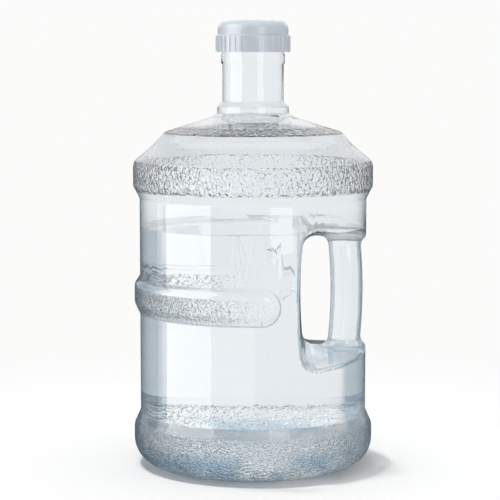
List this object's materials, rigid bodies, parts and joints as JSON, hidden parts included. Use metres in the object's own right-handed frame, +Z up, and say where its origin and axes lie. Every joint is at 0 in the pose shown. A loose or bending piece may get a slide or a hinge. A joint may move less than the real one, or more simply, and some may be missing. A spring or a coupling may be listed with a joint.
{
  "type": "water bottle with side handle",
  "caption": "Clear blown plastic drinking water bottle with a moulded-in hollow side handle, textured ridges, a narrow neck and a ribbed screw cap, about half full of water",
  "frame": {"origin": "middle of the foot ring, on the surface that the bottle stands on", "axes": "+Z up along the bottle's axis, +X towards the handle, Y across the mould's parting plane"},
  "size_m": [0.1952, 0.1952, 0.3624],
  "materials": {
    "clear_plastic": "clear, faintly blue blown plastic, smooth, with pebbled ridges",
    "water": "clear still water",
    "cap_plastic": "pale blue-grey, slightly translucent, satin moulded plastic"
  },
  "bodies": {
    "root": {"bottle": "clear_plastic", "water": "water", "cap": "cap_plastic"}
  },
  "joints": []
}
